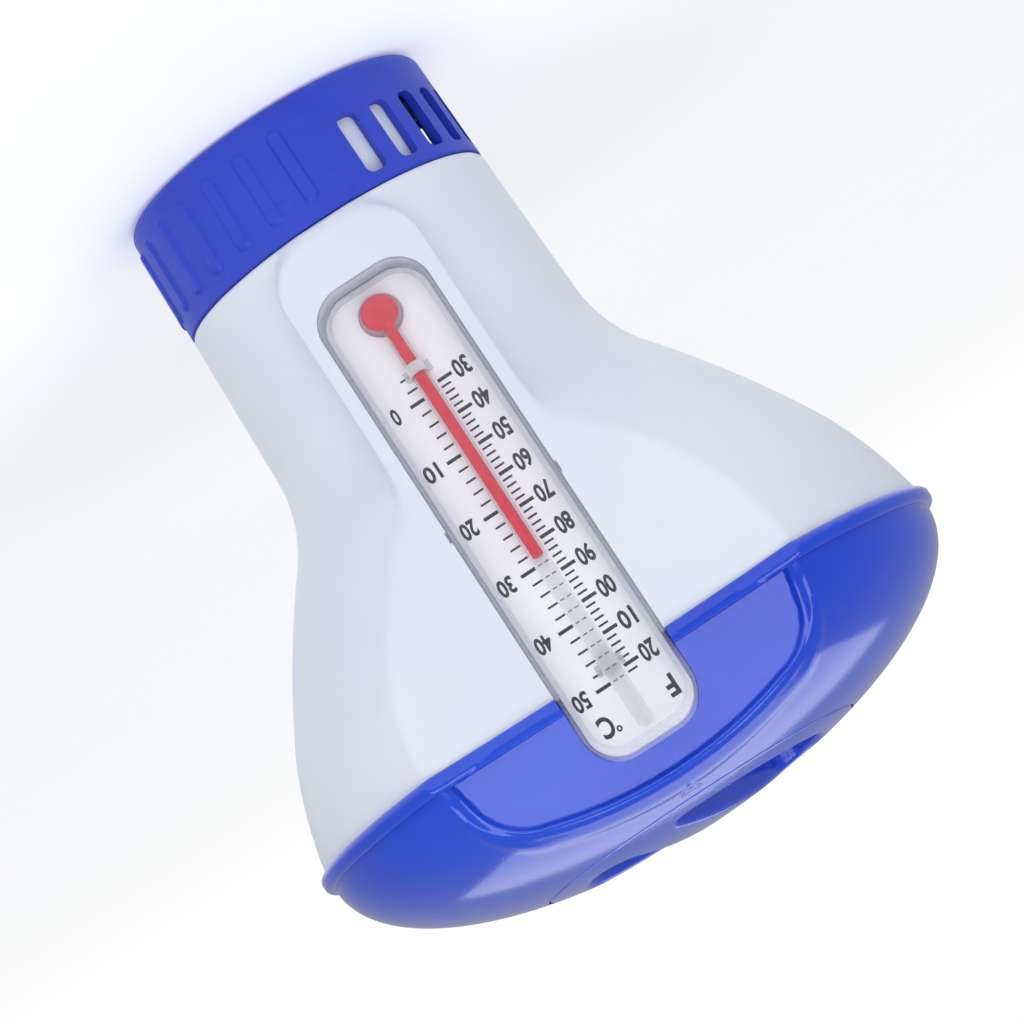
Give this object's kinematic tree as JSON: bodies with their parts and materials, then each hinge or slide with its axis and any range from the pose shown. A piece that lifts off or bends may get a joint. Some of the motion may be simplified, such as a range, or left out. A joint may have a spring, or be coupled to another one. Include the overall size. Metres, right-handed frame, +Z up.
{
  "type": "floating pool thermometer with tablet feeder",
  "caption": "Floating pool thermometer with a tablet feeder: white flared float, blue dome with twist-off grip lid, slotted dose ring and a tube thermometer set in the side.",
  "frame": {"origin": "centre of the dose ring's flat end face, on the object's own axis", "axes": "+Z up as the object floats, dome up; the thermometer faces -Y"},
  "size_m": [0.185, 0.1691, 0.2103],
  "materials": {
    "white_shell": "moulded, satin gloss",
    "blue_dome": "moulded, high gloss",
    "blue_lid": "moulded, gloss",
    "blue_ring": "moulded, fine matt",
    "white_tube": "moulded, matt",
    "grey_rubber": "soft, matt",
    "black_rubber": "soft, matt",
    "clear_cover": "clear moulded",
    "white_plate": "moulded, matt",
    "printed_card": "coated card, black print",
    "tube_glass": "clear glass",
    "red_spirit": "dyed liquid",
    "clear_clip": "clear moulded"
  },
  "bodies": {
    "float": {"body_shell": "white_shell", "top_dome": "blue_dome", "tablet_tube": "white_tube", "foot_seal": "black_rubber", "thermometer_cover": "clear_cover", "thermometer_backplate": "white_plate", "scale_card": "printed_card", "glass_tube": "tube_glass", "spirit": "red_spirit", "lower_tube_clip": "clear_clip", "upper_tube_clip": "clear_clip"},
    "lid_seal_ring": {"lid_seal": "grey_rubber"},
    "lid": {"lid": "blue_lid"},
    "dose_ring": {"dose_ring": "blue_ring"}
  },
  "joints": [
    {"name": "lid_lift", "type": "slide", "parent": "float", "child": "lid_seal_ring", "axis": [0, 0, 1], "range_m": [0, 0.03]},
    {"name": "lid_turn", "type": "hinge", "parent": "lid_seal_ring", "child": "lid", "pos_m": [0, 0, 0.2034], "axis": [0, 0, 1], "range_deg": [-31, 0]},
    {"name": "dose_turn", "type": "hinge", "parent": "float", "child": "dose_ring", "pos_m": [0, 0, 0.0162], "axis": [0, 0, 1], "range_deg": [-35, 145]}
  ]
}
